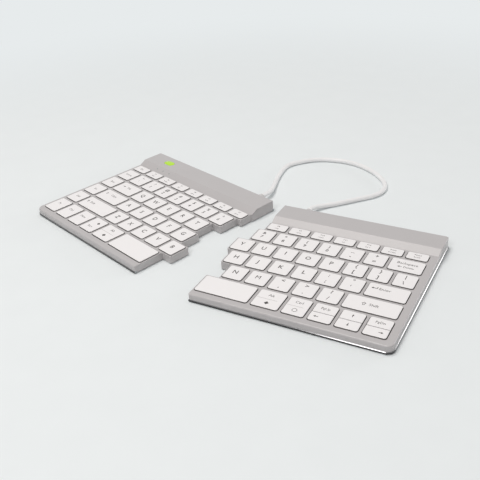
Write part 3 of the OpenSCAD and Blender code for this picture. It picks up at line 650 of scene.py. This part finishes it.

# Key works under each cap group: a dome per key and pairs of scissor links, drawn at rest
worksSet = {
    "domeFoot": 1.9,
    "domeHeight": 3.2,
    "domeWide": 5.6,
    "domeTop": 3.2,
    "domeLip": 0.35,
    "domeSkirt": 0.6,
    "domeSwell": 0.12,
    "domeShoulder": 0.5,
    "domeNeck": 0.3,
    "domeEase": 0.1,
    "domeSides": 16,
    "plateTop": 2.4,
    "ceiling": 6.5,
    "linkLong": 11.0,
    "linkWide": 7.0,
    "linkBar": 0.6,
    "linkThick": 0.8,
    "linkGap": 0.2,
    "linkPlay": 0.05,
    "linkFlat": 0.9,
    "wideKey": 2.0,
    "travel": 2.0,
}


def addDome(bm, x, y):
    s = worksSet
    base, top, height = s["domeWide"] / 2, s["domeTop"] / 2, s["domeHeight"]
    outline = [(base, 0), (base, s["domeLip"]), (base - s["domeLip"], s["domeSkirt"]),
               (top + s["domeSwell"], height - s["domeShoulder"]), (top, height - s["domeNeck"]),
               (top - s["domeEase"], height)]
    addTurned(bm, outline, Matrix.Translation(Vector((x, y, s["domeFoot"])) * mm), s["domeSides"])


def addLink(bm, x, y, wide, lean):
    s = worksSet
    made = bmesh.ops.create_cube(bm, size=1.0)["verts"]
    bmesh.ops.scale(bm, vec=Vector((s["linkLong"], wide, s["linkThick"])) * mm, verts=made)
    faces = {f for v in made for f in v.link_faces}
    caps = [f for f in faces if abs(f.normal.z) > s["linkFlat"]]
    bmesh.ops.inset_individual(bm, faces=caps, thickness=s["linkBar"] * mm, use_even_offset=True)
    loops = list({e for f in caps for e in f.edges})
    bmesh.ops.delete(bm, geom=caps, context="FACES_ONLY")
    bmesh.ops.bridge_loops(bm, edges=loops)
    frameVerts = list({v for e in loops for v in e.verts} | set(made))
    place = Matrix.Translation(Vector((x, y, (s["ceiling"] + s["plateTop"]) / 2)) * mm)
    bmesh.ops.transform(bm, matrix=place @ Matrix.Rotation(lean, 4, "Y"), verts=frameVerts)


def makeWorks(node):
    side, keys = groupKeys(node)
    s = worksSet
    domes, links = bmesh.new(), bmesh.new()
    room = (s["ceiling"] - s["plateTop"]) / 2 - s["linkPlay"]
    lean = math.asin((room - s["linkThick"] / 2) / (s["linkLong"] / 2))
    for key in keys:
        x, y, wide = keyBox(*key)[:3]
        addDome(domes, x, y)
        units = (wide + layout["capGap"]) / layout["pitch"]
        for dx in (-wide / 4, wide / 4) if units > s["wideKey"] else (0,):
            addLink(links, x + dx, y, s["linkWide"], lean)
            addLink(links, x + dx, y, s["linkWide"] - 2 * s["linkBar"] - 2 * s["linkGap"], -lean)
    domeTop = s["domeFoot"] + s["domeHeight"]
    parts = ((domes, "domes", "dome", "dome_rubber", s["domeFoot"], domeTop),
             (links, "scissor_links", "link", "link_plastic", s["plateTop"], s["ceiling"]))
    for bm, kind, finish, slot, foot, top in parts:
        bmesh.ops.recalc_face_normals(bm, faces=bm.faces)
        bmesh.ops.transform(bm, matrix=halfMatrix(side), verts=bm.verts)
        piece = finishPiece(bm, node + "_" + kind, finishes[finish], side + "_half",
                            [side + "_" + kind])
        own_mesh(piece)


for node in keyNodes:
    makeWorks(node)
print("key works made")

# Copies of CAD nodes, with the edges eased that the CAD leaves sharp
copySet = {"merge": 0.001, "flat": 0.5}


def copyNode(node):
    bm = bmesh.new()
    bm.from_mesh(frame["nodes"][node].data)
    bmesh.ops.remove_doubles(bm, verts=bm.verts, dist=copySet["merge"] * mm)
    bmesh.ops.dissolve_limit(bm, angle_limit=math.radians(copySet["flat"]), verts=bm.verts,
                             edges=bm.edges)
    return bm


def isSharp(edge, angle=60):
    return edge.is_manifold and edge.is_convex and edge.calc_face_angle() > math.radians(angle)


# Cases: the sharp edges at the heights of the deck and the bar are rounded
caseSet = {
    "deck": 7.0,
    "bar": 10.4,
    "level": 0.02,  # how far an edge may be off these heights
    "margin": 2.2,
    "round": 0.25,
    "roundSteps": 2,
    "slope": 0.88,  # upward part of the normal on the bar's sloped front
    "slopeSpread": 0.02,
    "slopeArea": 20,
    "weld": 0.002,
    "smooth": 20,
}


def caseEdge(edge):
    s = caseSet
    a, b = (v.co / mm for v in edge.verts)
    level = min(abs(a.z - h) + abs(b.z - h) for h in (s["deck"], s["bar"])) < s["level"]
    return level and (a.y + b.y) / 2 > layout["caseFront"] + s["margin"] and isSharp(edge)


def makeCase(side):
    s = caseSet
    node = side + "_top_case"
    bm = copyNode(node)
    place = halfMatrix(side)
    bmesh.ops.transform(bm, matrix=place.inverted(), verts=bm.verts)
    weight = bm.edges.layers.float.new("bevel_weight_edge")
    for edge in bm.edges:
        edge[weight] = caseEdge(edge)
    bmesh.ops.transform(bm, matrix=place, verts=bm.verts)
    piece = finishPiece(bm, node + "_shell", finishes["case"], side + "_half", [node],
                        s["smooth"])
    slopes = [p for p in piece.data.polygons if p.area > s["slopeArea"] * mm * mm
              and abs(p.normal.z - s["slope"]) < s["slopeSpread"]]
    rims = {key for p in slopes for key in p.edge_keys}  # so that the slope stays flat to its ends
    for edge in piece.data.edges:
        edge.use_edge_sharp = edge.use_edge_sharp or edge.key in rims
    rounding = piece.modifiers.new("mouldedEdges", "BEVEL")
    rounding.limit_method = "WEIGHT"
    rounding.width = s["round"] * mm
    rounding.segments = s["roundSteps"]
    rounding.profile = 0.5
    rounding.use_clamp_overlap = False
    piece.modifiers.new("closedSeams", "WELD").merge_threshold = s["weld"] * mm
    piece.modifiers.new("evenShade", "WEIGHTED_NORMAL").keep_sharp = True


for side in ("left", "right"):
    makeCase(side)
print("cases made")

# Base trays: the rim's face is black nickel, and its upper edge a chamfer in polished nickel
traySet = {
    "levels": {2.2: (0.45, 2), 0.6: (0.15, 1)},  # height: chamfer, finish
    "level": 0.01,
    "left": -21.5,
    "right": 280.5,
    "corner": 5.2,
    "rearward": 0.9,
    "upright": 0.3,
}


def isRim(face, side):
    s = traySet
    spot = face.calc_center_median() / mm
    rear = spot.y > layout["caseRear"] - s["corner"] and face.normal.y > s["rearward"]
    outside = spot.y < layout["caseFront"] or rear or abs(spot.x - s[side]) < s["corner"]
    return outside and abs(face.normal.z) < s["upright"]


def makeTray(side):
    node = side + "_base_tray"
    bm = copyNode(node)
    place = halfMatrix(side)
    bmesh.ops.transform(bm, matrix=place.inverted(), verts=bm.verts)
    bm.normal_update()
    for face in bm.faces:
        face.material_index = isRim(face, side)
    for level, (radius, tone) in traySet["levels"].items():
        edges = [e for e in bm.edges if isSharp(e)
                 and all(abs(v.co.z / mm - level) < traySet["level"] for v in e.verts)
                 and any(f.material_index == 1 for f in e.link_faces)]
        made = bmesh.ops.bevel(bm, geom=edges, offset=radius * mm, segments=1, profile=0.5,
                               affect="EDGES", material=-1)
        for face in made["faces"]:
            face.material_index = tone
    bmesh.ops.transform(bm, matrix=place, verts=bm.verts)
    metals = [finishes[name] for name in ("plate", "nickel", "polish")]
    finishPiece(bm, node + "_rimmed", metals, side + "_half", [node])


for side in ("left", "right"):
    makeTray(side)
print("base trays made")

# Small pieces: finish, slot, edge radius
smallPieces = {
    "left_feet": ("foot", "foot_rubber", 0.15), "right_feet": ("foot", "foot_rubber", 0.15),
    "left_screws": ("screw", "screw_steel", 0.1), "right_screws": ("screw", "screw_steel", 0.1),
    "left_indicator_window": ("window", "window_plastic", 0.2),
    "left_status_lights": ("light", "light_plastic", 0.1),
    "battery": ("foil", "battery_foil", 0.5),
    "charge_socket": ("socket", "socket_steel", 0.1),
    "power_switch": ("switch", "switch_plastic", 0.15),
    "power_switch_knob": ("knob", "knob_plastic", 0.15),
}
# Screws have a round drive recess in the head
driveSet = {"rim": 0.9, "deep": 0.3, "downward": -0.9, "level": 0.001}


def makeSmall(node):
    finish, slot, radius = smallPieces[node]
    bm = copyNode(node)
    bmesh.ops.bevel(bm, geom=[e for e in bm.edges if isSharp(e)], offset=radius * mm, segments=2,
                    profile=0.5, affect="EDGES", material=-1)
    bm.normal_update()
    if node.endswith("screws"):
        s = driveSet
        low = min(v.co.z for v in bm.verts) + s["level"] * mm
        heads = [f for f in bm.faces
                 if f.normal.z < s["downward"] and f.calc_center_median().z < low]
        bmesh.ops.inset_individual(bm, faces=heads, thickness=s["rim"] * mm, use_even_offset=True)
        recess = list({v for f in heads for v in f.verts})
        bmesh.ops.translate(bm, verts=recess, vec=(0, 0, s["deep"] * mm))
    body = "right_half" if node.startswith("right") else "left_half"
    if node == "power_switch_knob":
        body = node
    finishPiece(bm, node + "_eased", finishes[finish], body, [node])


for node in smallPieces:
    makeSmall(node)
print("small pieces made:", len(smallPieces))

# CAD nodes that keep their shape: a finish each
plainNodes = {
    "left_membrane": "film", "right_membrane": "film",
    "left_support_plate": "plate", "right_support_plate": "plate",
    "left_circuit_board": "board", "right_circuit_board": "board",
}
for name, finish in plainNodes.items():
    data = frame["nodes"][name].data
    data.materials.clear()
    data.materials.append(finishes[finish])
print("node finishes set:", len(plainNodes))

# Floor, world and lamps; a lamp has its place, width, power and colour
lightSet = {
    "world": 0.45,
    "key": ((-330, -160, 1731), 1000, 14.1, "#fffbf7"),
    "fill": ((85, -1000, 1022), 380, 3.2),
    "rim": ((792, 1229, 266), 380, 2.85),
    "floor": ("#e6eaeb", "#e9edee"),
    "speck": 25,
    "floorRough": 0.9,
    "backdrop": "#e7ebec",
    "fade": (0.28, 0.75),
    "reach": 30.0,
}


# The backdrop is what the camera and reflections see; it adds no soft light to the keyboard
def addSeen(tree):
    path = addNode(tree, "ShaderNodeLightPath").outputs
    return addNode(tree, "ShaderNodeMath", {"operation": "ADD", "use_clamp": True},
                   {0: path["Is Camera Ray"], 1: path["Is Glossy Ray"]}).outputs[0]


# Matt paper sweep: almost even, and further off it fades into the backdrop
floorMaterial, tree, shader, place = startMaterial("paleFloor")
dark, light = [hexColour(code) for code in lightSet["floor"]]
speck = addNode(tree, "ShaderNodeTexNoise", None,
                {"Vector": place, "Scale": 1 / (lightSet["speck"] * mm), "Detail": 2.0})
tint = addNode(tree, "ShaderNodeMix", {"data_type": "RGBA"},
               {"Factor": speck.outputs["Fac"], "A": dark, "B": light})
tree.links.new(tint.outputs[2], shader.inputs["Base Color"])
shader.inputs["Roughness"].default_value = lightSet["floorRough"]
ground = addNode(tree, "ShaderNodeVectorMath", {"operation": "LENGTH"}, {0: place})
near, away = lightSet["fade"]
far = addNode(tree, "ShaderNodeMapRange", {"interpolation_type": "SMOOTHSTEP"},
              {"Value": ground.outputs["Value"], "From Min": near, "From Max": away})
share = addNode(tree, "ShaderNodeMath", {"operation": "MULTIPLY"},
                {0: addSeen(tree), 1: far.outputs["Result"]})
glow = addNode(tree, "ShaderNodeEmission", None, {"Color": hexColour(lightSet["backdrop"])})
blend = addNode(tree, "ShaderNodeMixShader", None,
                {0: share.outputs[0], 1: shader.outputs["BSDF"], 2: glow.outputs["Emission"]})
tree.links.new(blend.outputs[0], tree.nodes["Material Output"].inputs["Surface"])
bm = bmesh.new()
bmesh.ops.create_grid(bm, x_segments=1, y_segments=1, size=lightSet["reach"])
floorMesh = bpy.data.meshes.new("floor")
bm.to_mesh(floorMesh)
bm.free()
floorMesh.materials.append(floorMaterial)
floor = bpy.data.objects.new("floor", floorMesh)
scene.collection.objects.link(floor)

world = bpy.data.worlds.new("studio")
world.use_nodes = True
tree = world.node_tree
lit = tree.nodes["Background"]
lit.inputs["Color"].default_value = (1, 1, 1, 1)
lit.inputs["Strength"].default_value = lightSet["world"]
pale = addNode(tree, "ShaderNodeBackground", None, {"Color": hexColour(lightSet["backdrop"])})
blend = addNode(tree, "ShaderNodeMixShader", None,
                {0: addSeen(tree), 1: lit.outputs["Background"], 2: pale.outputs["Background"]})
tree.links.new(blend.outputs[0], tree.nodes["World Output"].inputs["Surface"])
scene.world = world


def addLamp(name, spot, size, power, colour="#ffffff"):
    lamp = bpy.data.lights.new(name, "AREA")
    lamp.shape = "DISK"
    lamp.size = size * mm
    lamp.energy = power
    lamp.color = hexColour(colour)[:3]
    holder = bpy.data.objects.new(name, lamp)
    holder.location = Vector(spot) * mm
    holder.rotation_euler = (-holder.location).to_track_quat("-Z", "Y").to_euler()
    holder.visible_camera = False
    scene.collection.objects.link(holder)


for name in ("key", "fill", "rim"):
    addLamp(name + "Light", *lightSet[name])
scene.view_settings.view_transform = "Standard"
print("stage lit")
